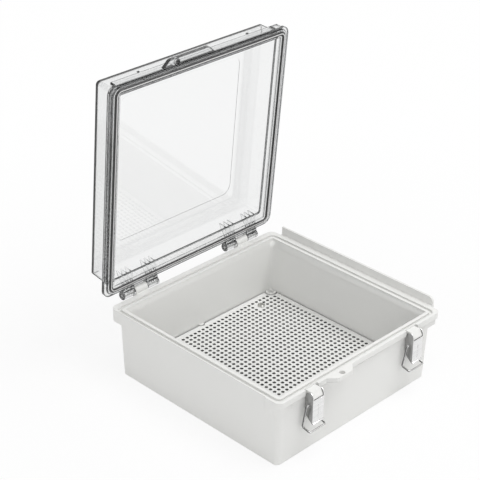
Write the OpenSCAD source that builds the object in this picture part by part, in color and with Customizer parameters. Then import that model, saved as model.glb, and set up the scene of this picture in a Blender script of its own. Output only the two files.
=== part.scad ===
/* [Body] */
// Width of the base, side to side
base_w = 284; // [260:1:320]
// Depth of the base, latch side to hinge side
base_d = 284; // [260:1:320]
// Height of the body, base to the top of the rim ridges
body_h = 95; // [85:1:130]
// Wall thickness of the tub and of the lid
wall_t = 3; // [2.4:0.1:3.6]
// Floor thickness of the tub
floor_t = 3; // [2.4:0.1:4]
// How far each tub wall leans outward from the base to the rim
wall_draft = 2; // [1:0.1:3]
// Outer radius of the upright corners of the tub
corner_r = 7; // [5:0.5:10]

/* [Rim and rain hood] */
// Height of the rim skirt
rim_h = 18; // [16:0.5:22]
// How far the rim stands out on the hinge side and on the hood side
rim_out = 17; // [15:0.5:22]
// Radius of the outer corners of the rim
rim_r = 9; // [8:0.5:12]
// Width of the seal groove in the rim
groove_w = 4; // [3:0.25:6]
// Depth of the seal groove in the rim
groove_deep = 3; // [2:0.25:4]
// Width of the ridge inside the seal groove
ridge_w = 4.5; // [3:0.25:5]
// Height of the lip along the front of the rim
lip_h = 8; // [6:0.5:9]
// How far the lip stands out in front of the wall
lip_out = 3; // [2:0.25:3.5]
// Thickness of the rain hood and width of the gutter inside it
hood_t = 3; // [2.5:0.25:3.5]
// Height of the rain hood above the rim
hood_h = 11.5; // [8:0.5:18]

/* [Lid] */
// Height of the lid above the rim
lid_h = 33; // [28:1:45]
// Thickness of the lid's flange plate
flange_t = 4; // [3:0.25:5]
// Gap between the closed lid and the rim ridges
lid_gap = 0.4; // [0.3:0.05:0.6]
// How far the lid is swung open in the resting position
lid_open = 85; // [0:1:90]
// Side of the shallow field pressed into the outer face of the lid
field_side = 212; // [150:1:220]

/* [Hinges and latches] */
// Distance between the two hinges, and between the two latches
pair_span = 190; // [160:1:200]
// Diameter of the steel hinge pins
hinge_pin_d = 4; // [3:0.25:5]
// Diameter of the hinge knuckles
knuckle_d = 11.6; // [10:0.2:12]
// Width of each lid knuckle
knuckle_w = 20; // [16:0.5:24]
// Running clearance on the radius of every pin
pin_clear = 0.05; // [0.02:0.01:0.1]
// Width of the latch lever
lever_w = 20; // [17:0.5:22]
// Length of the latch lever below its pivot
lever_len = 39; // [36:0.5:42]
// Sheet thickness of the latch parts
sheet_t = 1.2; // [1:0.1:1.5]
// Diameter of the latch wire
wire_d = 2.4; // [2:0.1:2.8]
// Diameter of the padlock holes
padlock_d = 7.5; // [6:0.5:8]

/* [Mounting panel] */
// Spacing of the panel's rows of holes
grid_pitch = 7.5; // [7:0.5:10]
// Diameter of each hole in the panel
grid_hole = 3.4; // [2.5:0.1:4]
// Thickness of the panel
panel_t = 3; // [2:0.25:4]
// Height of the bosses that carry the panel, above the floor
boss_h = 10; // [8:0.5:20]
// Distance of the panel screws from the two sides of the base
screw_in_x = 46.5; // [42:0.5:60]
// Distance of the panel screws from the latch side and the hinge side
screw_in_y = 26.5; // [24:0.5:50]

/* [Hidden] */
$fn = 48;
hull_fn = 32;
eps = 0.01;
air = 0.3;
near_air = 0.5;

// Outline of the rim: the wall stays flush on the left and front sides
rim_x0 = -base_w / 2 - wall_draft;
rim_x1 = base_w / 2 + wall_draft + rim_out;
rim_y0 = -base_d / 2 - wall_draft;
rim_y1 = base_d / 2 + wall_draft + rim_out;
rim_low = body_h - rim_h;

// Centre line of the seal groove
seal_x0 = rim_x0 + 4.5;
seal_x1 = rim_x1 - 8.5;
seal_y0 = rim_y0 + 3.4;
seal_y1 = rim_y1 - 10.5;
seal_r = 7;
// Latches stand evenly to both sides of the seal's middle, hinges to both sides of the rim's
mid_x = (seal_x0 + seal_x1) / 2;
hinge_mid_x = (rim_x0 + rim_x1) / 2;
// The opening of the tub lies inside the inner ridge
open_in = groove_w / 2 + ridge_w;

// Hinge axis, seen along X
axis_y = rim_y1 + 7;
axis_z = body_h + 3;
knuckle_r = knuckle_d / 2;
body_knuckle_w = 20.5;

// Lid, as it lies when closed
lid_x0 = rim_x0 - 6;
lid_x1 = rim_x1 + 2;
lid_y0 = rim_y0 - 4.3;
lid_y1 = rim_y1 - 2;
lid_r = 12;
lid_low = body_h + lid_gap;
plate_low = lid_low + 2;
plate_top = plate_low + flange_t;
lid_top = body_h + lid_h;
tray_x0 = rim_x0 - 3;
tray_x1 = rim_x1 - rim_out - 1;
tray_y0 = rim_y0 - 2;
tray_y1 = rim_y1 - rim_out - 5.5;
tray_r = 6;
tray_draft = 1;
tray_bevel = 1;

// Latch points, as distance out from the wall and height
lug_w = lever_w - 2 * sheet_t - 2 * near_air;
pivot_out = 9.6;
pivot_z = body_h - 6;
pivot_r = 1.5;
bail_out = 8;
bail_z = pivot_z - 13.5;
bail_half = lever_w / 2 + 4.3;
lever_face_out = 14.2;

// Wire of the latch: how far the leg leans in and drops, and how far its hook stands out and drops
wire_r = wire_d / 2;
wire_bend = 2.6;
leg_in = 5.9;
leg_drop = 32.5;
hook_out = 12.5;
hook_drop = 3;
// Closed, the wire's bar lies on the lid's ledge this far in front of the wall plane
catch_out = rim_y0 - tray_y0 + wire_r + near_air;
bar_reach = norm([hook_out - leg_in, leg_drop + hook_drop]);
bar_rise = sqrt(pow(bar_reach, 2) - pow(bail_out - catch_out, 2));
ledge_z = bail_z + bar_rise - wire_r - near_air;

// Mounting panel
panel_z = floor_t + boss_h;
panel_top = panel_z + panel_t;
panel_gap = 1.9;
panel_half_x = base_w / 2 + wall_draft * panel_z / rim_low - wall_t - panel_gap;
panel_half_y = base_d / 2 + wall_draft * panel_z / rim_low - wall_t - panel_gap;
post_in = wall_t + 6.5;
post_r = 7.5;
post_hole_r = 2.75;
post_x = base_w / 2 - post_in;
post_y = base_d / 2 - post_in;
insert_r = 3.4;
thread_r = 2.4;

// ---------- Shared shapes ----------

// Rectangle between two corners with round corners
module rounded(x0, y0, x1, y1, r) {
    translate([x0 + r, y0]) square([x1 - x0 - 2 * r, y1 - y0]);
    translate([x0, y0 + r]) square([x1 - x0, y1 - y0 - 2 * r]);
    for (x = [x0 + r, x1 - r], y = [y0 + r, y1 - r])
        translate([x, y]) circle(r);
}

// Thin rounded plate, used as one layer of a drafted shell
module layer(x0, y0, x1, y1, r, z) {
    translate([0, 0, z]) linear_extrude(eps) rounded(x0, y0, x1, y1, r, $fn = hull_fn);
}

// Outline that follows the seal, moved outward by grow
module seal_loop(grow) {
    rounded(seal_x0 - grow, seal_y0 - grow, seal_x1 + grow, seal_y1 + grow, seal_r + grow);
}

// Band of the seal loop between two offsets
module seal_ring(inner, outer) {
    difference() {
        seal_loop(outer);
        seal_loop(inner);
    }
}

// Outline drawn in the side view, as [out from -Y, height], given a width along X
module side_profile(points, x, width) {
    translate([x - width / 2, 0, 0])
        rotate([90, 0, 90]) linear_extrude(width) polygon(points);
}

// Round bar along X
module bar_x(x0, x1, y, z, r) {
    translate([x0, y, z]) rotate([0, 90, 0]) cylinder(h = x1 - x0, r = r);
}

// Puts the lid's parts into the open position
module opened() {
    translate([0, axis_y, axis_z]) rotate([-lid_open, 0, 0])
        translate([0, -axis_y, -axis_z]) children();
}

function pair_x() = [mid_x - pair_span / 2, mid_x + pair_span / 2];
function hinge_x() = [hinge_mid_x - pair_span / 2, hinge_mid_x + pair_span / 2];

// ---------- Base shell ----------

padlock_x = mid_x - 45.5;
padlock_y = rim_y0 - 7.4;
ear_out = 13.5;

// Outside of the tub, with its walls leaning out
module tub_outside() {
    w = base_w / 2;
    d = base_d / 2;
    hull() {
        layer(1.2 - w, 1.2 - d, w - 1.2, d - 1.2, corner_r - 1.2, 0);
        layer(-w, -d, w, d, corner_r, 1.2);
        layer(rim_x0, rim_y0, -rim_x0, -rim_y0, corner_r, rim_low + 1);
    }
}

// Hollow of the tub
module tub_hollow() {
    w = base_w / 2 - wall_t;
    d = base_d / 2 - wall_t;
    bend_z = body_h - 10;
    grow = wall_draft * bend_z / rim_low;
    r = corner_r - wall_t + 1;
    hull() {
        layer(-w, -d, w, d, r, floor_t);
        layer(-w - grow, -d - grow, w + grow, d + grow, r, bend_z);
    }
    hull() {
        layer(-w - grow, -d - grow, w + grow, d + grow, r, bend_z);
        layer(seal_x0 + open_in, seal_y0 + open_in, seal_x1 - open_in, seal_y1 - open_in,
            seal_r, body_h - 4);
    }
    translate([0, 0, body_h - 4]) linear_extrude(5) seal_loop(-open_in);
}

// Rim block that stands out on the hinge side and on the hood side
module rim_block() {
    translate([0, 0, rim_low]) linear_extrude(rim_h)
        rounded(rim_x0, rim_y0, rim_x1, rim_y1, rim_r);
}

// Lip along the front, deeper at the corner away from the hood
module front_lip() {
    wrap = 22;
    translate([0, 0, body_h - lip_h]) linear_extrude(lip_h) intersection() {
        rounded(rim_x0 - 1.5, rim_y0 - lip_out, rim_x1, rim_y1, rim_r);
        translate([rim_x0 - 5, rim_y0 - 5]) square([rim_x1 - rim_x0 + 10, 5 + wrap]);
    }
    translate([0, 0, rim_low - 2]) linear_extrude(rim_h) intersection() {
        rounded(rim_x0 - 1.5, rim_y0 - lip_out + 1, rim_x1, rim_y1, rim_r);
        translate([rim_x0 - 5, rim_y0 - 5]) square([5 + wrap, 5 + wrap]);
    }
}

// Clears the lip where a latch lever turns
module lip_pocket(x) {
    w = lever_w + 3;
    translate([x - w / 2, rim_y0 - lip_out - 1, rim_low]) cube([w, lip_out + 1, rim_h + 1]);
}

// Rain hood on the top side of the box, with its gutter
module rain_hood() {
    out = 2 * hood_t;
    y0 = rim_y0 + 14;
    y1 = rim_y1 - 18;
    top = body_h + hood_h;
    translate([0, 0, rim_low]) linear_extrude(rim_h)
        hood_plan(-eps, out, y0, y1);
    intersection() {
        translate([0, 0, rim_low]) linear_extrude(rim_h + hood_h)
            hood_plan(hood_t, out, y0, y1);
        side_profile([
            [y0, rim_low], [y0, top - 6], [y0 + 1.8, top - 1.8], [y0 + 6, top],
            [y1, top], [y1, rim_low]
        ], rim_x1, 4 * out);
    }
}

module hood_plan(inner, outer, y0, y1) {
    intersection() {
        difference() {
            rounded(rim_x0 - outer, rim_y0 - outer, rim_x1 + outer, rim_y1 + outer, rim_r + outer);
            rounded(rim_x0 - inner, rim_y0 - inner, rim_x1 + inner, rim_y1 + inner, rim_r + inner);
        }
        translate([rim_x1 - rim_r, y0]) square([rim_r + outer + 1, y1 - y0]);
    }
}

// Hollows under the overhanging rim, with ribs left between them
module rim_pockets() {
    wall_x = -rim_x0 + wall_t;
    wall_y = -rim_y0 + wall_t;
    count = 6;
    step_x = (rim_x1 - wall_t - rim_x0 - 8) / count;
    step_y = (rim_y1 - 22 - rim_y0) / count;
    for (i = [0 : count - 1]) {
        translate([rim_x0 + 4 + i * step_x, wall_y, rim_low - 1])
            cube([step_x - wall_t, rim_y1 - wall_t - wall_y, rim_h - 6]);
        translate([wall_x, rim_y0 + 4 + i * step_y, rim_low - 1])
            cube([rim_x1 + hood_t - wall_x, step_y - wall_t, rim_h - 6]);
    }
}

// Tongue with a hole for a padlock
module padlock_ear(x0, x1, z, height) {
    slope = 10;
    translate([0, 0, z]) linear_extrude(height) {
        translate([0, rim_y0]) polygon([
            [x0, 1], [x0, -lip_out], [x0 + slope, -ear_out + 1], [x0 + slope + 3, -ear_out],
            [x1 - slope - 3, -ear_out], [x1 - slope, -ear_out + 1], [x1, -lip_out], [x1, 1]
        ]);
    }
}

module padlock_hole(z, height) {
    translate([padlock_x, padlock_y, z]) cylinder(h = height, d = padlock_d);
}

// Hinge knuckle of the body with the arm that carries it
module body_knuckle(x) {
    y = rim_y1;
    side_profile([
        [y - 1, body_h - 13], [y - 1, body_h - 0.6], [y + 3, body_h + 0.5],
        [axis_y, axis_z], [axis_y + knuckle_r - 0.4, axis_z - 2], [y + 7, body_h - 9]
    ], x, body_knuckle_w);
    bar_x(x - body_knuckle_w / 2, x + body_knuckle_w / 2, axis_y, axis_z, knuckle_r);
}

// Moulded lug that holds the latch pivot
lug_low = pivot_z - 4.5;
lug_top = pivot_z + 4.6;
module latch_lug(x) {
    front = rim_y0 - lever_face_out + 1;
    side_profile([
        [rim_y0 + 1, lug_low], [front, lug_low], [front, lug_low + 2],
        [rim_y0 - pivot_out + 0.5, lug_top], [rim_y0 + 1, lug_top]
    ], x, lug_w);
}

// Round post in each corner, drilled for the wall screws
module corner_posts() {
    for (sx = [-1, 1], sy = [-1, 1])
        translate([sx * post_x, sy * post_y, floor_t - 1])
            cylinder(h = panel_top - floor_t + 2, r = post_r);
}

module corner_holes() {
    for (sx = [-1, 1], sy = [-1, 1])
        translate([sx * post_x, sy * post_y, -1]) {
            cylinder(h = panel_top + 10, r = post_hole_r);
            translate([0, 0, panel_top + 1 - 5]) cylinder(h = 10, r = post_hole_r + 2);
        }
}

screw_x = base_w / 2 - screw_in_x;
screw_y = base_d / 2 - screw_in_y;
function screw_points() = [
    [-screw_x, -screw_y], [screw_x, -screw_y], [screw_x, screw_y], [-screw_x, screw_y]
];

// Bosses under the panel, with ribs that tie each to the floor
module panel_bosses() {
    for (p = screw_points()) translate([p[0], p[1], floor_t - 1]) {
        cylinder(h = boss_h + 1, r = 6.5);
        for (a = [0, 90]) rotate(a) translate([-10, -0.9, 0]) cube([20, 1.8, boss_h - 2]);
    }
}

// Half-round guides on the latch and hinge walls that locate the panel
guide_r = 4;
module panel_guides() {
    for (sy = [-1, 1])
        translate([0, sy * (base_d / 2 - wall_t + 0.5), floor_t - 1])
            cylinder(h = panel_top - floor_t + 2, r = guide_r);
}

module base_shell() {
    color("gainsboro") difference() {
        union() {
            difference() {
                union() {
                    tub_outside();
                    rim_block();
                    front_lip();
                    rain_hood();
                }
                tub_hollow();
                translate([0, 0, body_h - groove_deep]) linear_extrude(groove_deep + 1)
                    seal_ring(-groove_w / 2, groove_w / 2);
                rim_pockets();
                for (x = pair_x()) lip_pocket(x);
            }
            padlock_ear(padlock_x - 24, padlock_x + 24, body_h - 6, 6);
            for (x = hinge_x()) body_knuckle(x);
            for (x = pair_x()) latch_lug(x);
            corner_posts();
            panel_bosses();
            panel_guides();
        }
        corner_holes();
        padlock_hole(body_h - 10, 20);
        for (p = screw_points())
            translate([p[0], p[1], floor_t + 1.5]) cylinder(h = boss_h, r = insert_r);
        for (x = hinge_x())
            bar_x(x - body_knuckle_w, x + body_knuckle_w, axis_y, axis_z, hinge_pin_d / 2);
        for (x = pair_x())
            bar_x(x - lug_w, x + lug_w, rim_y0 - pivot_out, pivot_z, pivot_r);
    }
}

// ---------- Lid ----------

// Outside of the lid's tray
module tray_outside() {
    d = tray_draft + tray_bevel;
    hull() {
        layer(tray_x0, tray_y0, tray_x1, tray_y1, tray_r, plate_top - 1);
        layer(tray_x0 + tray_draft, tray_y0 + tray_draft, tray_x1 - tray_draft,
            tray_y1 - tray_draft, tray_r - 1, lid_top - tray_bevel);
        layer(tray_x0 + d, tray_y0 + d, tray_x1 - d, tray_y1 - d, tray_r - 2, lid_top - eps);
    }
}

// Hollow of the lid's tray
module tray_hollow() {
    t = wall_t;
    d = wall_t + tray_draft;
    hull() {
        layer(tray_x0 + t, tray_y0 + t, tray_x1 - t, tray_y1 - t, tray_r - 2, plate_top);
        layer(tray_x0 + d, tray_y0 + d, tray_x1 - d, tray_y1 - d, tray_r - 3, lid_top - wall_t);
    }
}

// Flange plate with the two ridges that hold the gasket
module lid_flange() {
    translate([0, 0, plate_low]) linear_extrude(flange_t)
        rounded(lid_x0, lid_y0, lid_x1, lid_y1, lid_r);
    translate([0, 0, lid_low]) linear_extrude(2 + eps) {
        seal_ring(gasket_w / 2, gasket_w / 2 + 3);
        seal_ring(-gasket_w / 2 - 3, -gasket_w / 2);
    }
    // Front band whose top edge is the ledge for the latch wires
    side_profile([
        [lid_y0, plate_low], [lid_y0, ledge_z - 0.4], [lid_y0 + 0.4, ledge_z],
        [lid_y0 + 6, ledge_z], [lid_y0 + 6, plate_low]
    ], (lid_x0 + lid_x1) / 2, lid_x1 - lid_x0 - 2 * lid_r);
}

// Room for a padlock shackle above the lid's tongue
module shackle_room() {
    w = padlock_d + 5;
    z = plate_top + 1;
    translate([padlock_x - w / 2, lid_y0 - 1, z])
        cube([w, tray_y0 - near_air - lid_y0 + 1, ledge_z + 1 - z]);
}

// Opening of the flange into the tray
module flange_opening() {
    translate([0, 0, lid_low - 1]) linear_extrude(flange_t + 4)
        rounded(seal_x0 + open_in, seal_y0 + open_in, tray_x1 - wall_t, tray_y1 - wall_t, tray_r - 2);
}

// One knuckle of the lid with its arm and three gussets
gusset_h = 13;
module lid_knuckle(x) {
    side_profile([
        [lid_y1 - 3, plate_low], [axis_y - 3, axis_z - 3], [axis_y, axis_z],
        [axis_y, axis_z + knuckle_r - 0.2], [lid_y1 - 3, plate_top]
    ], x, knuckle_w);
    bar_x(x - knuckle_w / 2, x + knuckle_w / 2, axis_y, axis_z, knuckle_r);
    for (i = [-1 : 1])
        side_profile([
            [tray_y1 - 2, plate_top - 1], [lid_y1 - 2, plate_top - 1], [lid_y1 - 3, plate_top + 0.5],
            [tray_y1 - 2, plate_top + gusset_h]
        ], x + i * 7.4, 2.2);
}

function lid_knuckle_x(x) = [
    x - body_knuckle_w / 2 - near_air - knuckle_w / 2,
    x + body_knuckle_w / 2 + near_air + knuckle_w / 2
];

module lid_shell() {
    color([0.86, 0.89, 0.9, 0.4]) opened() difference() {
        union() {
            difference() {
                union() {
                    tray_outside();
                    lid_flange();
                }
                tray_hollow();
                flange_opening();
                field_recess();
                shackle_room();
            }
            padlock_ear(padlock_x - 24, padlock_x + 66, plate_low, flange_t + 1);
            for (x = hinge_x(), k = lid_knuckle_x(x)) lid_knuckle(k);
            for (x = pair_x()) wire_pip(x);
        }
        padlock_hole(lid_low, 10);
        for (x = hinge_x())
            bar_x(x - 2 * knuckle_w, x + 2 * knuckle_w, axis_y, axis_z, hinge_pin_d / 2 + pin_clear);
    }
}

// Shallow square field in the outer face
module field_recess() {
    cx = (tray_x0 + tray_x1) / 2;
    cy = (tray_y0 + tray_y1) / 2;
    h = field_side / 2;
    translate([0, 0, lid_top - 0.6]) linear_extrude(1)
        rounded(cx - h, cy - h, cx + h, cy + h, 14);
}

// Small bump that keeps the latch wire on its ledge
module wire_pip(x) {
    translate([x, tray_y0 + 0.6, ledge_z + 5]) sphere(r = 1.6);
}

gasket_w = 5.4;
module lid_gasket() {
    bead = groove_w / 2 - near_air;
    low = body_h - 1.2;
    color("dimgray") opened() {
        translate([0, 0, plate_low - 1.5]) linear_extrude(1.5) seal_ring(-gasket_w / 2, gasket_w / 2);
        translate([0, 0, low]) linear_extrude(plate_low - 1.5 - low + eps)
            seal_ring(-bead, bead);
    }
}

// ---------- Mounting panel and its fasteners ----------

screw_clear_r = 9;

// Places of the holes, leaving room round each screw
function grid_count(half) = floor((half - 7) / grid_pitch);
function clear_of_screws(x, y) =
    min([for (p = screw_points()) norm([x, y] - p)]) > screw_clear_r;
function clear_of_corner(x, y) = norm([abs(x) - post_x, abs(y) - post_y]) > post_r + 5;
function grid_points() = [
    for (i = [-grid_count(panel_half_x) : grid_count(panel_half_x)],
        j = [-grid_count(panel_half_y) : grid_count(panel_half_y)])
        let (x = i * grid_pitch, y = j * grid_pitch)
            if (clear_of_screws(x, y) && clear_of_corner(x, y)) [x, y]
];

module mounting_panel() {
    color("whitesmoke") translate([0, 0, panel_z])
        linear_extrude(panel_t) difference() {
            rounded(-panel_half_x, -panel_half_y, panel_half_x, panel_half_y, 4);
            for (p = grid_points()) translate(p) circle(d = grid_hole, $fn = 16);
            for (sx = [-1, 1], sy = [-1, 1])
                translate([sx * post_x, sy * post_y]) circle(post_r + 1.8);
            for (sy = [-1, 1])
                translate([0, sy * (base_d / 2 - wall_t + 0.5)]) circle(guide_r + 1);
            for (p = screw_points()) translate(p) circle(2.75);
        }
}

// Slotted pan-head screw standing on z = 0 with its shank below
module slotted_screw(head_r, head_h, shank_r, shank) {
    difference() {
        rotate_extrude() polygon([
            [0, -shank], [shank_r, -shank], [shank_r, 0], [head_r, 0],
            [head_r, head_h * 0.6], [head_r * 0.8, head_h], [0, head_h]
        ]);
        rotate(35) translate([-head_r - 1, -0.7, head_h * 0.45]) cube([2 * head_r + 2, 1.4, head_h]);
    }
}

module panel_screw(i) {
    p = screw_points()[i];
    color("silver") translate([p[0], p[1], panel_top]) slotted_screw(5.2, 2.6, thread_r, 10);
}

module panel_insert(i) {
    p = screw_points()[i];
    color("goldenrod") translate([p[0], p[1], floor_t + 1.5]) difference() {
        cylinder(h = boss_h - 1.5, r = insert_r);
        translate([0, 0, -1]) cylinder(h = boss_h + 2, r = thread_r);
    }
}

// ---------- Hinge pins ----------

module hinge_pin(x) {
    reach = body_knuckle_w / 2 + near_air + knuckle_w - 1;
    color("silver") bar_x(x - reach, x + reach, axis_y, axis_z, hinge_pin_d / 2);
}

// ---------- Latches ----------

// Side view of one cheek of the lever, as distance from the wall plane and height
function cheek_points() = [
    [1, pivot_z - 21], [1, pivot_z - 5], [3, pivot_z + 1.5], [5.2, pivot_z + 3.8],
    [pivot_out, pivot_z + 4.6], [12.6, pivot_z + 3], [lever_face_out, pivot_z - 1],
    [lever_face_out, pivot_z - lever_len], [13, pivot_z - lever_len],
    [3.6, pivot_z - lever_len + 8.5], [2.8, pivot_z - lever_len + 13]
];
function from_wall(points) = [for (p = points) [rim_y0 - p[0], p[1]]];

module latch_lever(x) {
    w = lever_w;
    y_face = rim_y0 - lever_face_out;
    low = pivot_z - lever_len;
    color("silver") difference() {
        union() {
            for (s = [-1, 1])
                side_profile(from_wall(cheek_points()), x + s * (w - sheet_t) / 2, sheet_t);
            translate([x - w / 2, y_face, low]) cube([w, sheet_t, lever_len - 5.4]);
            // Turned-out finger edge
            translate([x - w / 2, y_face - 1.6, low]) cube([w, 2.2, sheet_t]);
        }
        bar_x(x - w, x + w, rim_y0 - pivot_out, pivot_z, pivot_r + pin_clear);
        bar_x(x - w, x + w, rim_y0 - bail_out, bail_z, wire_r + pin_clear);
        // Raised-bead groove down the middle of the face
        translate([x - 0.6, y_face - 1, low + 6]) cube([1.2, 1.3, lever_len - 20]);
    }
}

// Straight piece of wire up Z, let a little way into the bends, with the rest of the wire on its end
module straight(length) {
    lap = 0.15;
    translate([0, 0, -lap]) cylinder(h = length + 2 * lap, r = wire_r - 0.02);
    translate([0, 0, length]) children();
}

// Bend toward the given side, with the rest of the wire on its end
module bend(angle, side) {
    rotate([0, 0, side]) translate([wire_bend, 0, 0]) {
        rotate([90, 0, 180]) rotate_extrude(angle = angle) translate([wire_bend, 0]) circle(wire_r);
        rotate([0, angle, 0]) translate([-wire_bend, 0, 0]) children();
    }
}

// One side of the wire loop: an end in the lever, a leg, a hook turned outward and the bar, if any
module half_bail(bar) {
    inner = lever_w / 2 - sheet_t - 1.5;
    lean = atan2(leg_in, leg_drop);
    turn = lean + atan2(hook_out, hook_drop);
    used = wire_bend * tan(turn / 2);
    translate([inner, 0, 0]) rotate([0, 90, 0])
        straight(bail_half - wire_bend - inner) bend(90, lean)
            straight(norm([leg_in, leg_drop]) - wire_bend - used) bend(turn, -90)
                straight(norm([hook_out, hook_drop]) - wire_bend - used) bend(90, 90)
                    if (bar > 0) straight(bar);
}

module latch_bail(x) {
    color("silver") translate([x, rim_y0 - bail_out, bail_z]) {
        half_bail(2 * (bail_half - wire_bend));
        mirror([1, 0, 0]) half_bail(0);
    }
}

module latch_pivot_pin(x) {
    reach = lever_w / 2 + 0.2;
    color("silver") {
        bar_x(x - reach, x + reach, rim_y0 - pivot_out, pivot_z, pivot_r);
        bar_x(x - reach - 0.9, x - reach, rim_y0 - pivot_out, pivot_z, pivot_r + 0.9);
        bar_x(x + reach, x + reach + 0.9, rim_y0 - pivot_out, pivot_z, pivot_r + 0.9);
    }
}

base_shell();
lid_shell();
lid_gasket();
mounting_panel();
for (i = [0 : 3]) {
    panel_screw(i);
    panel_insert(i);
}
hinge_pin(hinge_x()[0]);  // hinge_pin_left
hinge_pin(hinge_x()[1]);  // hinge_pin_right
latch_lever(pair_x()[0]);  // latch_lever_left
latch_lever(pair_x()[1]);  // latch_lever_right
latch_bail(pair_x()[0]);  // latch_bail_left
latch_bail(pair_x()[1]);  // latch_bail_right
latch_pivot_pin(pair_x()[0]);  // latch_pivot_pin_left
latch_pivot_pin(pair_x()[1]);  // latch_pivot_pin_right
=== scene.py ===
# %% [markdown]
# # A hinged weatherproof box with a clear lid
# The real thing is a square moulded tub with a rim that overhangs two of its sides, a deep clear
# lid on two pinned hinges, two steel draw latches and a perforated panel on four screws.
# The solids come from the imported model, which is in metres with the floor at z = 0. This lesson
# gives them their finishes, remodels the pieces that need finer shapes, and lights the box.

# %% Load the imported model
import math

import bmesh
import bpy
from mathutils import Matrix, Vector


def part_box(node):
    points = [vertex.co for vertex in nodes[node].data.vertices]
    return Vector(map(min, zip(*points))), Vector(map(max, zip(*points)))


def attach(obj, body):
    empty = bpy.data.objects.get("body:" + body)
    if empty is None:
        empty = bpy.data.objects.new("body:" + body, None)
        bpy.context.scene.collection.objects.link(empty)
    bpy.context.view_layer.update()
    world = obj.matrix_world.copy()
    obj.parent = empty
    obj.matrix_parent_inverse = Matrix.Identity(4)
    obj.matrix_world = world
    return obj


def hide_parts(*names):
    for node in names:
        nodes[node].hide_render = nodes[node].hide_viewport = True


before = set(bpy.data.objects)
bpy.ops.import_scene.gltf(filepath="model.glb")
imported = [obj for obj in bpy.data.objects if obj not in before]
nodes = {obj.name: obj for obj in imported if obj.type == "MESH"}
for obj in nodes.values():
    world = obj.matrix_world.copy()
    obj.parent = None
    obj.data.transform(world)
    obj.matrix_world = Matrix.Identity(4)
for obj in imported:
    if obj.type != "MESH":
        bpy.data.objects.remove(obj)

MM = 0.001
X, Y, Z = range(3)
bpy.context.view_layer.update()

# %% [markdown]
# ## Shader maths as plain expressions
# A finish could be wired up node by node in the shader editor, but it is easier to read as
# arithmetic than as a web of nodes. `Value` wraps one socket, and each operator adds the Math
# node that it stands for. `Finish` starts a material, and its `node` method adds any other node:
# its settings first, and then its sockets.

# %% One number in a shader
class Value:
    """A socket that carries one number and takes part in arithmetic."""

    def __init__(self, finish, socket):
        self.finish = finish
        self.socket = socket

    def math(self, operation, first, second):
        made = self.finish.node("ShaderNodeMath", {"operation": operation},
                                {0: first, 1: second})
        return Value(self.finish, made.outputs[0])

    def __add__(self, other):
        return self.math("ADD", self, other)

    def __radd__(self, other):
        return self.math("ADD", other, self)

    def __sub__(self, other):
        return self.math("SUBTRACT", self, other)

    def __rsub__(self, other):
        return self.math("SUBTRACT", other, self)

    def __mul__(self, other):
        return self.math("MULTIPLY", self, other)

    def __rmul__(self, other):
        return self.math("MULTIPLY", other, self)

    def or_more(self, other):
        """The larger of two numbers."""
        return self.math("MAXIMUM", self, other)

    def above(self, low, high):
        """0 up to low, 1 from high, and a straight ramp between."""
        made = self.finish.node("ShaderNodeMapRange", {"clamp": True},
                                {"Value": self, "From Min": low, "From Max": high})
        return Value(self.finish, made.outputs[0])


# %% A finish under construction
BEVEL_SAMPLES = 6


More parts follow.
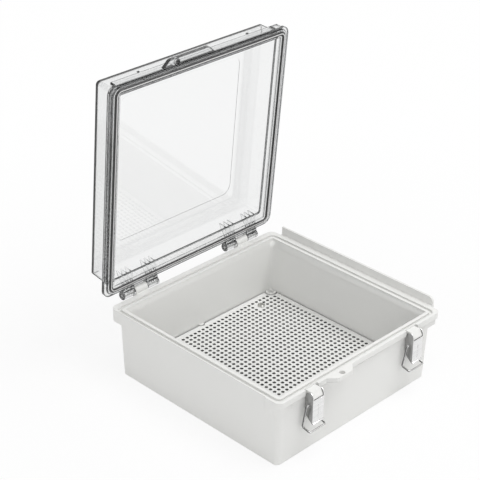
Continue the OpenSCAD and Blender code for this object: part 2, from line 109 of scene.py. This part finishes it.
class Finish:
    """A material under construction, with its Principled shader ready."""

    def __init__(self, name, **settings):
        self.material = bpy.data.materials.new(name)
        self.material.use_nodes = True
        self.tree = self.material.node_tree
        self.shader = self.tree.nodes["Principled BSDF"]
        for socket, value in settings.items():
            self.shader.inputs[socket.replace("_", " ")].default_value = value

    def node(self, kind, settings=None, sockets=None):
        """Adds a node of any kind: its settings first, then its values or links."""
        made = self.tree.nodes.new(kind)
        for name, value in (settings or {}).items():
            setattr(made, name, value)
        for key, value in (sockets or {}).items():
            self.feed(made.inputs[key], value)
        return made

    def feed(self, socket, value):
        """Links a socket to a value or another socket, or sets its number or colour."""
        if isinstance(value, Value):
            self.tree.links.new(value.socket, socket)
        elif isinstance(value, bpy.types.NodeSocket):
            self.tree.links.new(value, socket)
        else:
            socket.default_value = value

    def place(self, stretch=(1, 1, 1)):
        """Object coordinates in metres, scaled along each axis if asked."""
        where = self.node("ShaderNodeTexCoord").outputs["Object"]
        return self.node("ShaderNodeMapping", {}, {"Vector": where, "Scale": stretch}).outputs[0]

    def noise(self, size, detail, stretch=(1, 1, 1)):
        """Soft noise from 0 to 1 whose blobs are about size metres across."""
        made = self.node("ShaderNodeTexNoise", {},
                         {"Vector": self.place(stretch), "Scale": 1 / size, "Detail": detail})
        return Value(self, made.outputs["Fac"])

    def mix(self, amount, low, high):
        """One colour where amount is 0 and the other where it is 1."""
        made = self.node("ShaderNodeMix", {"data_type": "RGBA"}, {0: amount})
        for socket, colour in ((made.inputs[6], low), (made.inputs[7], high)):
            self.feed(socket, colour if isinstance(colour, bpy.types.NodeSocket) else (*colour, 1))
        return made.outputs[2]

    def soft_normal(self, radius):
        """The normal that the surface would have with its edges rounded."""
        return self.node("ShaderNodeBevel", {"samples": BEVEL_SAMPLES},
                         {"Radius": radius}).outputs[0]

    def edges(self, radius, low, high):
        """1 along edges and corners within radius, and 0 on open faces."""
        true = self.node("ShaderNodeNewGeometry").outputs["Normal"]
        agree = self.node("ShaderNodeVectorMath", {"operation": "DOT_PRODUCT"},
                          {0: self.soft_normal(radius), 1: true}).outputs["Value"]
        return (1 - Value(self, agree)).above(low, high)

    def normal(self, axis):
        """One part of the direction in which a surface faces, from -1 to 1."""
        direction = self.node("ShaderNodeTexCoord").outputs["Normal"]
        return Value(self, self.node("ShaderNodeSeparateXYZ", {}, {0: direction}).outputs[axis])

    def facing(self, axis):
        """How far a surface faces along an axis, either way, from 0 to 1."""
        made = self.node("ShaderNodeMath", {"operation": "ABSOLUTE"}, {0: self.normal(axis)})
        return Value(self, made.outputs[0])

    def paint(self, **sockets):
        """Feeds sockets of the shader, with _ for the spaces in their names."""
        for name, value in sockets.items():
            self.feed(self.shader.inputs[name.replace("_", " ")], value)

    def bump(self, height, distance, strength, rounding=0.0):
        """Fine relief, distance metres deep, with the edges rounded if asked."""
        made = self.node("ShaderNodeBump", {},
                         {"Height": height, "Distance": distance, "Strength": strength})
        if rounding:
            self.feed(made.inputs["Normal"], self.soft_normal(rounding))
        self.feed(self.shader.inputs["Normal"], made.outputs[0])


def dress(finish, *names):
    """Gives CAD nodes a finish."""
    for name in names:
        slots = nodes[name].data.materials
        slots.clear()
        slots.append(finish.material)
    print(finish.material.name, "on", ", ".join(names))


# %% [markdown]
# ## Moulded plastic
# The tub is moulded in light warm grey ABS. Its skin is satin with a very fine spark-eroded
# grain, the grey drifts a little where the melt flowed, and every edge of the mould leaves a
# small radius. The radius could be cut with a Bevel modifier, but that would make spikes between
# the shell's many ribs and pockets, so a Bevel node gives the shading of it instead.

# %% Tub plastic
ABS_IOR = 1.53
MELT_FLOW = 120 * MM        # how far apart the lighter and darker clouds are
RUBBED_SPOTS = 20 * MM
SPARK_GRAIN = 0.7 * MM
GRAIN_DEPTH = 0.03 * MM


def moulded_plastic(name, light, dark, roughness, rounding):
    """Satin plastic between two greys, with the shading of rounded edges."""
    plastic = Finish(name, IOR=ABS_IOR)
    drift = plastic.noise(MELT_FLOW, detail=3)
    grain = plastic.noise(SPARK_GRAIN, detail=1)
    rub = plastic.noise(RUBBED_SPOTS, detail=3).above(low=0.55, high=0.8)
    plastic.paint(Base_Color=plastic.mix(drift, dark, light),
                  Roughness=roughness + 0.07 * grain + 0.06 * rub)
    plastic.bump(grain, GRAIN_DEPTH, strength=0.35, rounding=rounding)
    print(name, "has roughness", roughness, "and edges of", round(rounding / MM, 2), "mm")
    return plastic


tub_plastic = moulded_plastic("tub_plastic", light=(0.80, 0.80, 0.782),
                              dark=(0.775, 0.775, 0.757), roughness=0.38, rounding=0.9 * MM)

# %% [markdown]
# ## The tub
# The tub is one moulding with ribs, bosses and lugs. It could be extruded again from a square,
# but its solid already has all of these at their sizes, so the solid is carried over whole. It
# is copied, the loose triangles of the copy are merged, and the ends of the two half-round panel
# guides, which come through the latch and hinge walls at the bottom, are pressed flush with the
# outside.

# %% Selecting by place
def pick(piece, kind, test):
    """In edit mode, selects the verts or edges that pass a test and nothing else."""
    bpy.ops.mesh.select_mode(type={"verts": "VERT", "edges": "EDGE"}[kind])
    bpy.ops.mesh.select_all(action="DESELECT")
    shape = bmesh.from_edit_mesh(piece.data)
    found = 0
    for item in getattr(shape, kind):
        if test(item):
            item.select_set(True)
            found += 1
    shape.select_flush_mode()
    bmesh.update_edit_mesh(piece.data)
    return found


# %% Working on one piece
def only(piece):
    """Selects one piece alone and makes it the active one."""
    bpy.ops.object.select_all(action="DESELECT")
    piece.select_set(True)
    bpy.context.view_layer.objects.active = piece


def add_modifier(piece, kind, **settings):
    """Adds a modifier with its settings and applies it."""
    made = piece.modifiers.new(kind, kind)
    for name, value in settings.items():
        setattr(made, name, value)
    bpy.ops.object.modifier_apply(modifier=made.name)


def triangles(piece):
    """How many triangles a piece has."""
    return sum(len(face.vertices) - 2 for face in piece.data.polygons)


# %% Merged copies of solids
SAME_POINT = 2e-6           # points closer than this, in metres, are one
FLAT = math.radians(0.5)


def merged_copy(node, name, whole_faces=True):
    """A copy of a solid, its loose triangles joined and, if asked, its flat faces made whole."""
    piece = bpy.data.objects.new(name, nodes[node].data.copy())
    bpy.context.scene.collection.objects.link(piece)
    only(piece)
    bpy.ops.object.mode_set(mode="EDIT")
    bpy.ops.mesh.select_all(action="SELECT")
    bpy.ops.mesh.remove_doubles(threshold=SAME_POINT)
    if whole_faces:
        bpy.ops.mesh.dissolve_limited(angle_limit=FLAT)
    bpy.ops.object.mode_set(mode="OBJECT")
    return piece


def stand_for(node, piece, body, finish):
    """Lets a piece stand for a solid, on its body and with its finish."""
    piece.data.materials.clear()
    piece.data.materials.append(finish.material)
    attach(piece, body)
    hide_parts(node)
    print(piece.name, "has", triangles(piece), "triangles")


# %% Tub with flush guides
WALL_FOOT = 142 * MM        # from the middle of the box to a wall's foot
WALL_LEAN = 2 * MM          # how much farther out its top is
WALL_HEIGHT = 77 * MM
GUIDE_HALF_WIDTH = 3.2 * MM
GUIDE_ENDS = (2 * MM, 17 * MM)
AT_HEIGHT = 0.01 * MM
PROUD = 0.002 * MM
NO_LENGTH = 1e-6
TUB_SMOOTH = math.radians(16)


def wall_at(z):
    """How far out the outer face of the latch and hinge walls is at a height."""
    return WALL_FOOT + WALL_LEAN * z / WALL_HEIGHT


def guide_end(way, z):
    """A test for points of one guide that stand proud of the wall at a height."""
    return lambda v: (abs(v.co.x) < GUIDE_HALF_WIDTH and abs(v.co.z - z) < AT_HEIGHT
                      and v.co.y * way > wall_at(z) + PROUD)


tub = merged_copy("base_shell", "tub_shell", whole_faces=False)
bpy.ops.object.mode_set(mode="EDIT")
for way in (-1, 1):
    for z in GUIDE_ENDS:
        found = pick(tub, "verts", guide_end(way, z))
        bpy.ops.transform.resize(value=(1, 0, 1), center_override=(0, way * wall_at(z), z))
        print("pressed", found, "points flush at height", round(z / MM, 1), "mm")
bpy.ops.mesh.select_all(action="SELECT")
bpy.ops.mesh.dissolve_degenerate(threshold=NO_LENGTH)
bpy.ops.object.mode_set(mode="OBJECT")
bpy.ops.object.shade_smooth_by_angle(angle=TUB_SMOOTH)
add_modifier(tub, "WEIGHTED_NORMAL", mode="FACE_AREA", weight=100, keep_sharp=True)
stand_for("base_shell", tub, "base", tub_plastic)

# %% [markdown]
# ## The perforated panel
# The panel is a moulded plate with a square grid of round holes, which are left out round its
# four screws and its corner posts. It could be a plate with a Boolean for each hole, but over a
# thousand cuts are slow and leave long thin triangles. Here one square cell with its hole is
# modelled by hand, two Array modifiers repeat it, and the edge of the sheet is pulled out to the
# plate's own outline before Solidify gives it its thickness.

# %% One cell of the grid
PITCH = 7.5 * MM
ROWS = 35
REACH = PITCH * (ROWS - 1) / 2          # from the middle to the outermost holes
HOLE_RADIUS = 2.35 * MM
CELL_SIDE = 4                           # edges along one side of a cell
HOLE_SIDES = 4 * CELL_SIDE
SEAM = 0.02 * MM
panel_low, panel_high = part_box("mounting_panel")
top = panel_high[Z]


def start(operator, name, **settings):
    """Adds a primitive with nothing else selected."""
    bpy.ops.object.select_all(action="DESELECT")
    operator(**settings)
    bpy.context.object.name = name
    return bpy.context.object


def inside_cell(vert):
    """True for the points of the first cell that aren't on its border."""
    return max(abs(vert.co.x + REACH), abs(vert.co.y + REACH)) < PITCH * 0.45


panel = start(bpy.ops.mesh.primitive_grid_add, "perforated_panel", x_subdivisions=CELL_SIDE,
              y_subdivisions=CELL_SIDE, size=PITCH, location=(-REACH, -REACH, top))
bpy.ops.object.transform_apply(location=True, rotation=True, scale=True)
bpy.ops.object.mode_set(mode="EDIT")
pick(panel, "verts", inside_cell)
bpy.ops.mesh.delete(type="VERT")
bpy.ops.mesh.primitive_circle_add(vertices=HOLE_SIDES, radius=HOLE_RADIUS,
                                  location=(-REACH, -REACH, top))
bpy.ops.mesh.select_all(action="SELECT")
bpy.ops.mesh.bridge_edge_loops()
bpy.ops.object.mode_set(mode="OBJECT")
for step in ((PITCH, 0, 0), (0, PITCH, 0)):
    add_modifier(panel, "ARRAY", count=ROWS, use_relative_offset=False,
                 use_constant_offset=True, constant_offset_displace=step,
                 use_merge_vertices=True, merge_threshold=SEAM)
print("the grid has", len(panel.data.polygons), "faces")

# %% Cells that the real panel leaves blank
POST = 132.5 * MM           # a corner post's place along x and y
POST_ROOM = 12.5 * MM
SCREW_ROOM = 9 * MM
screws = [sum((Vector(corner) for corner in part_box("panel_screw_%d" % number)), Vector()) / 2
          for number in range(1, 5)]


def blank(x, y):
    """True where a hole would meet a screw or a corner post."""
    near_screw = min(math.hypot(x - p.x, y - p.y) for p in screws) <= SCREW_ROOM
    return near_screw or math.hypot(abs(x) - POST, abs(y) - POST) <= POST_ROOM


def in_blank_cell(vert):
    """True for the points of a hole, just past its radius, that is to be filled."""
    x = round(vert.co.x / PITCH) * PITCH
    y = round(vert.co.y / PITCH) * PITCH
    return math.hypot(vert.co.x - x, vert.co.y - y) < HOLE_RADIUS * 1.02 and blank(x, y)


bpy.ops.object.mode_set(mode="EDIT")
print("filled holes with", pick(panel, "verts", in_blank_cell), "points")
bpy.ops.mesh.fill_holes(sides=HOLE_SIDES)

# %% Outline and thickness of the plate
EDGE = REACH + PITCH / 2


def on_outline(edge):
    """True for the open edges round the whole sheet."""
    first, last = (vert.co for vert in edge.verts)
    at = (first + last) / 2
    return edge.is_boundary and max(abs(at.x), abs(at.y)) > EDGE - 0.01 * MM


pick(panel, "edges", on_outline)
bpy.ops.mesh.extrude_edges_move()
bpy.ops.transform.resize(value=(panel_high[X] / EDGE, panel_high[Y] / EDGE, 1),
                         center_override=(0, 0, top))
bpy.ops.mesh.select_all(action="SELECT")
bpy.ops.mesh.normals_make_consistent(inside=False)
bpy.ops.object.mode_set(mode="OBJECT")
if panel.data.polygons[0].normal.z < 0:
    bpy.ops.object.mode_set(mode="EDIT")
    bpy.ops.mesh.select_all(action="SELECT")
    bpy.ops.mesh.flip_normals()
    bpy.ops.object.mode_set(mode="OBJECT")
add_modifier(panel, "SOLIDIFY", thickness=top - panel_low[Z], offset=-1)
print("the plate is", round((top - panel_low[Z]) / MM, 2), "mm thick")

# %% Notches and screw holes
POST_NOTCH = 9.3 * MM
GUIDE = 139 * MM            # a panel guide's place along y
GUIDE_NOTCH = 5.0 * MM
SCREW_HOLE = 2.75 * MM
DRILL_SIDES = 48
DRILL_LENGTH = 40 * MM


def drill(target, places, radius):
    """Cuts upright round holes through a plate."""
    for x, y in places:
        cutter = start(bpy.ops.mesh.primitive_cylinder_add, "drill", vertices=DRILL_SIDES,
                       radius=radius, depth=DRILL_LENGTH, location=(x, y, top))
        only(target)
        add_modifier(target, "BOOLEAN", object=cutter, operation="DIFFERENCE",
                     solver="MANIFOLD")
        bpy.data.objects.remove(cutter)
    print("drilled", len(places), "holes of radius", round(radius / MM, 2), "mm")


drill(panel, [(x, y) for x in (-POST, POST) for y in (-POST, POST)], POST_NOTCH)
drill(panel, [(0, y) for y in (-GUIDE, GUIDE)], GUIDE_NOTCH)
drill(panel, [(p.x, p.y) for p in screws], SCREW_HOLE)

# %% [markdown]
# ## The panel's plastic
# The panel is the same kind of plastic as the tub, a little lighter and with sharper edges. Light
# hardly reaches into holes this small. Their walls could be left to the lamps alone, but a painted
# shade, a darker colour on every upright face, gives the holes their depth under any light.

# %% Panel plastic
HOLE_WALL_PAINTED_SHADE = (0.20, 0.20, 0.195)
panel_plastic = moulded_plastic("panel_plastic", light=(0.81, 0.81, 0.795),
                                dark=(0.79, 0.79, 0.775), roughness=0.42, rounding=0.35 * MM)
flat_skin = panel_plastic.shader.inputs["Base Color"].links[0].from_socket
# Painted shade: upright faces, the hole walls and the plate's edges, take the dark colour.
level_skin_vs_painted_shade = panel_plastic.facing(Z).above(low=0.3, high=0.7)
panel_plastic.paint(Base_Color=panel_plastic.mix(level_skin_vs_painted_shade, HOLE_WALL_PAINTED_SHADE, flat_skin))
stand_for("mounting_panel", panel, "base", panel_plastic)

# %% [markdown]
# ## Clear polycarbonate
# The lid is one clear moulding. Its solid has real wall thickness, so transmission with the
# refractive index of polycarbonate bends light at the flange and the corners by itself. A plain
# mix with a see-through shader would be quicker, but it would show no thickness. What a thick
# clear moulding also shows is dark lines: light that meets an edge is led away inside the wall.
# A little absorption in the depth of the plastic and a painted shade, a dark colour within about
# two millimetres of each edge of the lid's frame, give those lines.

# %% Clear lid
POLYCARBONATE_IOR = 1.585
CLEAR = (0.985, 0.988, 0.988)
EDGE_PAINTED_SHADE = (0.012, 0.012, 0.013)
EDGE_REACH = 2.4 * MM
DEEP_TINT = (0.55, 0.56, 0.56, 1)
DEPTH_DENSITY = 55.0
FRAME_START = 0.139         # from the middle of the lid, in metres
FRAME_FULL = 0.142

clear_lid = Finish("clear_lid", Roughness=0.015, IOR=POLYCARBONATE_IOR, Transmission_Weight=1.0)
centre = [(low + high) / 2 for low, high in zip(*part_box("lid_shell"))]
across = clear_lid.node("ShaderNodeSeparateXYZ", {}, {0: clear_lid.place()}).outputs
from_x = Value(clear_lid, across[X]) - centre[X]
from_z = Value(clear_lid, across[Z]) - centre[Z]
in_frame = (from_x * from_x).or_more(from_z * from_z).above(FRAME_START ** 2, FRAME_FULL ** 2)
# Painted shade: the colour turns nearly black within about two millimetres of each frame edge.
painted_edge_shade = clear_lid.edges(EDGE_REACH, low=0.003, high=0.035) * in_frame
clear_lid.paint(Base_Color=clear_lid.mix(painted_edge_shade, CLEAR, EDGE_PAINTED_SHADE))
depth = clear_lid.node("ShaderNodeVolumeAbsorption", {},
                       {"Color": DEEP_TINT, "Density": DEPTH_DENSITY})
clear_lid.feed(clear_lid.tree.nodes["Material Output"].inputs["Volume"], depth.outputs[0])
dress(clear_lid, "lid_shell")

# %% [markdown]
# ## The seal
# The seal is a black foamed bead in the lid's flange, whose crown presses into the groove of the
# tub's rim. Its crown gets a painted highlight: the faces that point along -y are painted pale, as
# one pale line of light. A curve with a round bevel could make the bead, but its solid already
# follows the flange, so the solid is copied, its triangles are merged, its flat faces joined, and
# a Bevel modifier rounds its edges.
# The same helper serves the stamped steel of the latches.

# %% Rounded copies of solids
SHARP = math.radians(30)
ROUNDED_SMOOTH = math.radians(35)


def rounded_copy(node, name, body, finish, radius, segments=2):
    """Copies a solid, rounds its edges and lets the copy stand for it."""
    piece = merged_copy(node, name)
    add_modifier(piece, "BEVEL", width=radius, segments=segments, limit_method="ANGLE",
                 angle_limit=SHARP, use_clamp_overlap=False)
    bpy.ops.object.shade_smooth_by_angle(angle=ROUNDED_SMOOTH)
    stand_for(node, piece, body, finish)


# %% Seal
RUBBER_DARK = (0.022, 0.022, 0.023)
RUBBER_LIGHT = (0.045, 0.045, 0.045)
CROWN_PAINTED_HIGHLIGHT = (0.75, 0.75, 0.75)
seal_rubber = Finish("seal_rubber", Roughness=0.35)
pores = seal_rubber.noise(1.2 * MM, detail=2)
# Painted highlight: the crown's faces are painted pale for the light that it catches.
crown_highlight_mask = (0 - seal_rubber.normal(Y)).above(low=0.95, high=0.99)
black = seal_rubber.mix(pores, RUBBER_DARK, RUBBER_LIGHT)
seal_rubber.paint(Base_Color=seal_rubber.mix(crown_highlight_mask * 0.9, black, CROWN_PAINTED_HIGHLIGHT))
seal_rubber.bump(pores, 0.1 * MM, strength=0.3)
rounded_copy("lid_gasket", "seal_bead", "lid", seal_rubber, 0.9 * MM, segments=3)

# %% [markdown]
# ## Draw latches
# Each latch is a stamped and polished steel lever on a pivot pin with a wire bail. The stamping
# runs the rolling grain along the lever, and the bent cheeks are duller than the polished face and
# painted much darker, a painted shade on the sides of the lever.
# The levers' solids are sharp, and could be modelled again from a bent strip, but a rounded copy
# is quicker and keeps their bores. The wire and the pins are round already and stay as they are.

# %% Steel of the levers and pins
ROLLED = (0.05, 1, 1)       # draws the noise out into streaks
latch_steel = Finish("latch_steel", Metallic=1.0)
streaks = latch_steel.noise(4 * MM, detail=2, stretch=ROLLED)
# The cheeks, the faces along x, are rougher, and darker by a painted shade.
cheek_dull_and_painted_shade = latch_steel.facing(X).above(low=0.6, high=0.9)
polished = latch_steel.mix(streaks, (0.74, 0.74, 0.74), (0.87, 0.87, 0.865))
cheek_painted_shade_colour = latch_steel.mix(streaks, (0.36, 0.36, 0.36), (0.48, 0.48, 0.475))
latch_steel.paint(Base_Color=latch_steel.mix(cheek_dull_and_painted_shade, polished, cheek_painted_shade_colour),
                  Roughness=0.17 + 0.10 * streaks + 0.15 * cheek_dull_and_painted_shade)
latch_steel.bump(streaks, 0.03 * MM, strength=0.25)

# %% Steel of the wires
WIRE_FLANK_PAINTED_SHADE = (0.16, 0.16, 0.16)
bail_wire = Finish("bail_wire", Metallic=1.0)
drawn = bail_wire.noise(1.5 * MM, detail=2)
bright = bail_wire.mix(drawn, (0.50, 0.50, 0.50), (0.66, 0.66, 0.655))
# Painted shade: the wire's flanks that face along x are painted dark.
flank_painted_shade = bail_wire.facing(X).above(low=0.35, high=0.8)
bail_wire.paint(Base_Color=bail_wire.mix(flank_painted_shade, bright, WIRE_FLANK_PAINTED_SHADE),
                Roughness=0.14 + 0.1 * drawn)
bail_wire.bump(drawn, 0.02 * MM, strength=0.3)

# %% Levers, wires and pins
for side in ("left", "right"):
    rounded_copy("latch_lever_" + side, "lever_" + side, "lever_" + side,
                 latch_steel, 0.25 * MM)
    dress(bail_wire, "latch_bail_" + side)
    dress(latch_steel, "latch_pivot_pin_" + side, "hinge_pin_" + side)

# %% [markdown]
# ## Screws and inserts
# Four steel screws hold the panel in brass inserts, which are turned parts pressed into the
# bosses. Both are small and round, so their solids are kept as they are. One flat colour would
# look like paint, so a fine noise gives the steel and the turned brass their marks.

# %% Panel screws and brass inserts
MARKS = 1 * MM
screw_steel = Finish("screw_steel", Metallic=1.0, Roughness=0.3)
marks = screw_steel.noise(MARKS, detail=2)
screw_steel.paint(Base_Color=screw_steel.mix(marks, (0.42, 0.42, 0.40), (0.62, 0.62, 0.60)))
screw_steel.bump(marks, 0.03 * MM, strength=0.3, rounding=0.3 * MM)
insert_brass = Finish("insert_brass", Metallic=1.0, Roughness=0.3)
turned = insert_brass.noise(MARKS, detail=2)
insert_brass.paint(Base_Color=insert_brass.mix(turned, (0.60, 0.42, 0.16), (0.72, 0.53, 0.24)))
for number in range(1, 5):
    dress(screw_steel, "panel_screw_%d" % number)
    dress(insert_brass, "panel_insert_%d" % number)

# %% [markdown]
# ## Studio floor
# The box stands in a seamless white studio. Lamps strong enough to whiten the paper would wash
# out the pale plastic, so the floor glows only where it is seen: by the camera, in reflections
# and through the lid. Next to the box the glow is a little weaker, which keeps its shadow.

# %% Floor
FLOOR_SIZE = 60
PAPER = (0.86, 0.86, 0.86, 1)
GLOW_NEAR = 0.86
GLOW_GAIN = 0.13
GLOW_RISES = 0.3            # from the middle of the box, in metres
GLOW_FULL = 0.8


def white_where_seen(room):
    """1 for camera, mirror and see-through rays, and 0 for the rays that light the box."""
    path = room.node("ShaderNodeLightPath").outputs
    seen = Value(room, path["Is Camera Ray"]).or_more(path["Is Glossy Ray"])
    return seen.or_more(path["Is Transmission Ray"])


def studio_floor():
    """A wide sheet of paper under the box."""
    floor = start(bpy.ops.mesh.primitive_plane_add, "studio_floor", size=FLOOR_SIZE,
                  location=(0, 0, 0))
    paper = Finish("studio_white")
    paper.tree.nodes.remove(paper.shader)
    diffuse = paper.node("ShaderNodeBsdfDiffuse", {}, {"Color": PAPER})
    glow = paper.node("ShaderNodeEmission", {}, {"Strength": 1.0})
    away = paper.node("ShaderNodeVectorMath", {"operation": "LENGTH"}, {0: paper.place()})
    far = Value(paper, away.outputs["Value"]).above(GLOW_RISES, GLOW_FULL)
    share = (GLOW_NEAR + GLOW_GAIN * far) * white_where_seen(paper)
    mix = paper.node("ShaderNodeMixShader", {},
                     {0: share, 1: diffuse.outputs[0], 2: glow.outputs[0]})
    paper.feed(paper.tree.nodes["Material Output"].inputs[0], mix.outputs[0])
    floor.data.materials.append(paper.material)
    print("the floor is", FLOOR_SIZE, "m wide")


studio_floor()

# %% [markdown]
# ## World and lamps
# Pale plastic shows best in a white tent with a few softboxes round it. An even world is the
# tent, and three square area lamps are the softboxes: one above, one to the left and a low one
# in front. The world alone would light the box too, but then its walls would all look the same.

# %% World
class Room(Finish):
    """A world under construction, with the same node method."""

    def __init__(self, name):
        self.world = bpy.data.worlds.new(name)
        self.world.use_nodes = True
        self.tree = self.world.node_tree
        self.tree.nodes.clear()


def studio_world(ambient):
    """Even light of one strength on the box, and plain white where it is seen."""
    room = Room("studio_world")
    bpy.context.scene.world = room.world
    white = (1, 1, 1, 1)
    light = room.node("ShaderNodeBackground", {}, {"Color": white, "Strength": ambient})
    seen = room.node("ShaderNodeBackground", {}, {"Color": white, "Strength": 1.0})
    mix = room.node("ShaderNodeMixShader", {},
                    {0: white_where_seen(room), 1: light.outputs[0], 2: seen.outputs[0]})
    room.node("ShaderNodeOutputWorld", {}, {0: mix.outputs[0]})
    print("the world lights the box at", ambient)


studio_world(ambient=0.62)

# %% Softboxes
LAMP_AIM = Vector((0, 0, 0.08))


def softbox(name, place, size, watts):
    """A square lamp that points at the middle of the tub."""
    lamp = bpy.data.lights.new(name, "AREA")
    lamp.shape = "SQUARE"
    lamp.size = size
    lamp.energy = watts
    holder = bpy.data.objects.new(name, lamp)
    bpy.context.scene.collection.objects.link(holder)
    holder.location = place
    holder.rotation_euler = (LAMP_AIM - Vector(place)).to_track_quat("-Z", "Y").to_euler()
    print(name, "gives", watts, "W")


softbox("softbox_above", place=(0.5, -0.6, 2.2), size=1.4, watts=26.5)
softbox("softbox_left", place=(-2.2, -0.6, 1.2), size=1.2, watts=7.4)
softbox("softbox_low", place=(0.6, -2.2, 0.5), size=0.8, watts=2.8)

# %% [markdown]
# ## Camera
# The box is seen from the front left and from above, through a long lens that keeps its upright
# edges nearly parallel. The camera could be placed by hand, but an aim, two angles, a roll and a
# distance say the same in five numbers that can be read and changed.

# %% Camera
AIM = Vector((0.034177, 0.099328, 0.152217))
AZIMUTH = math.radians(-45.413)
ELEVATION = math.radians(28.862)
ROLL = math.radians(0.722)
DISTANCE = 1.972
LENS = 110.324
SENSOR = 36


def studio_camera():
    """A camera that looks at AIM from its two angles."""
    back = Vector((math.sin(AZIMUTH) * math.cos(ELEVATION),
                   -math.cos(AZIMUTH) * math.cos(ELEVATION), math.sin(ELEVATION)))
    data = bpy.data.cameras.new("camera")
    data.lens = LENS
    data.sensor_width = SENSOR
    camera = bpy.data.objects.new("camera", data)
    bpy.context.scene.collection.objects.link(camera)
    look = (-back).to_track_quat("-Z", "Y").to_matrix().to_4x4()
    turn = look @ Matrix.Rotation(ROLL, 4, "Z")
    camera.matrix_world = Matrix.Translation(AIM + DISTANCE * back) @ turn
    bpy.context.scene.camera = camera
    print("the camera is", DISTANCE, "m from its aim, with a lens of", LENS, "mm")


studio_camera()
bpy.context.scene.view_settings.view_transform = "Standard"
